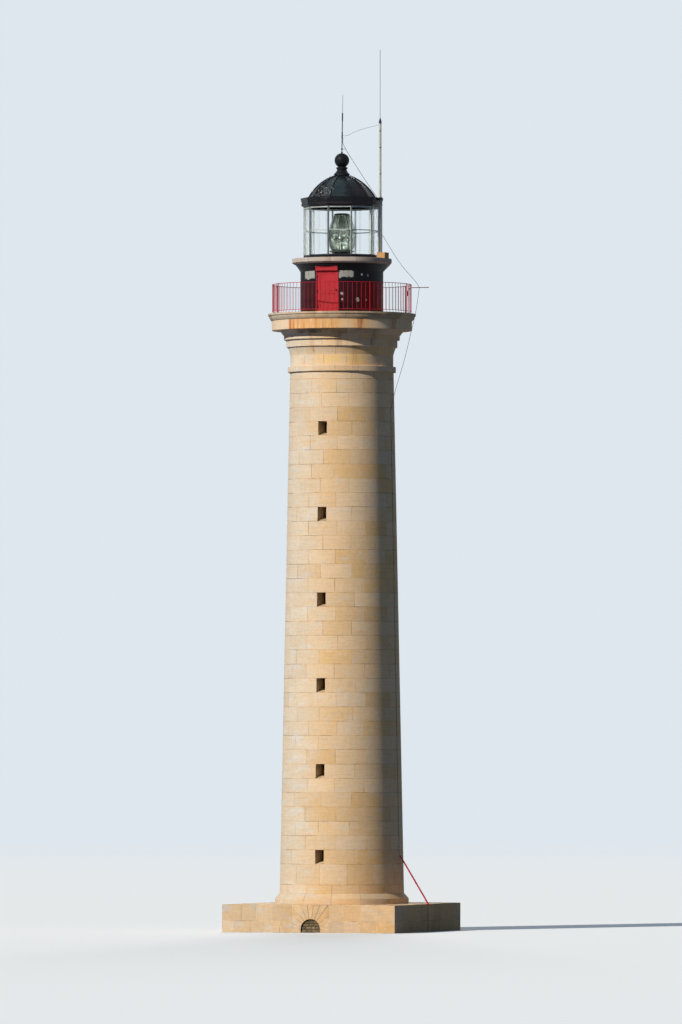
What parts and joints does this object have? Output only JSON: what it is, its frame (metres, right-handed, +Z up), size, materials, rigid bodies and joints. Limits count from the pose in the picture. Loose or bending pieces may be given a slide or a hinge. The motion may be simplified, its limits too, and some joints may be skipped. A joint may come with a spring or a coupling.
{
  "type": "lighthouse",
  "caption": "Stone lighthouse: tapered round ashlar tower on a square plinth, railed gallery, glazed lantern with a stepped lens, black dome, mast and lightning conductor.",
  "frame": {"origin": "centre of the plinth's underside, at ground level", "axes": "+Z up along the tower, -Y the side of the windows and the gallery door, +X the side of the lightning conductor"},
  "size_m": [7.7828, 7.71, 36.977],
  "materials": {
    "limestone": "weathered ashlar limestone",
    "mortar_infill": "rough mortar and rubble",
    "floor_slab": "plain stone floor",
    "painted_masonry": "paint on masonry, black above and dark red below, peeling",
    "black_paint": "black paint on stone",
    "ledge_stone": "pale stone",
    "sandstone": "orange sandstone",
    "black_iron": "weathered black paint",
    "red_iron": "red gloss paint",
    "red_timber": "red paint on timber",
    "maroon_timber": "dark red paint on timber",
    "glazing_bars": "dark paint, lighter inside",
    "pane_glass": "clear glass",
    "lens_glass": "clear prisms",
    "lens_iron": "dark paint",
    "white_mast": "off-white paint",
    "dark_rod": "dark weathered metal"
  },
  "bodies": {
    "root": {"capital": "limestone", "conductor": "dark_rod", "conductor_arm": "red_iron", "conductor_conduits": "red_iron", "cove": "black_paint", "dome": "black_iron", "entrance_door": "red_timber", "entrance_steps": "limestone", "finial": "black_iron", "gallery_door": "red_timber", "gallery_door_frame": "maroon_timber", "gallery_slab": "limestone", "lantern_gutter": "black_iron", "lantern_ledge": "ledge_stone", "lantern_mullions": "glazing_bars", "lantern_panes": "pane_glass", "lantern_sill": "black_iron", "lantern_transoms": "glazing_bars", "lens": "lens_glass", "lens_frame": "lens_iron", "lens_pedestal": "lens_iron", "lightning_rod": "dark_rod", "mast": "white_mast", "mast_block": "sandstone", "mast_whip": "dark_rod", "plinth": "limestone", "railing_panel_1": "red_iron", "railing_panel_2": "red_iron", "railing_panel_3": "red_iron", "railing_panel_4": "red_iron", "railing_panel_5": "red_iron", "railing_panel_6": "red_iron", "railing_panel_7": "red_iron", "railing_panel_8": "red_iron", "service_floor": "floor_slab", "service_wall_back": "painted_masonry", "service_wall_front": "painted_masonry", "service_wall_sides": "painted_masonry", "shaft_back_walls": "limestone", "shaft_front_walls": "limestone", "shaft_over_door": "limestone", "shaft_side_walls_back": "limestone", "shaft_side_walls_front": "limestone", "shaft_window_strip": "limestone", "vent_infill": "mortar_infill"}
  },
  "joints": []
}
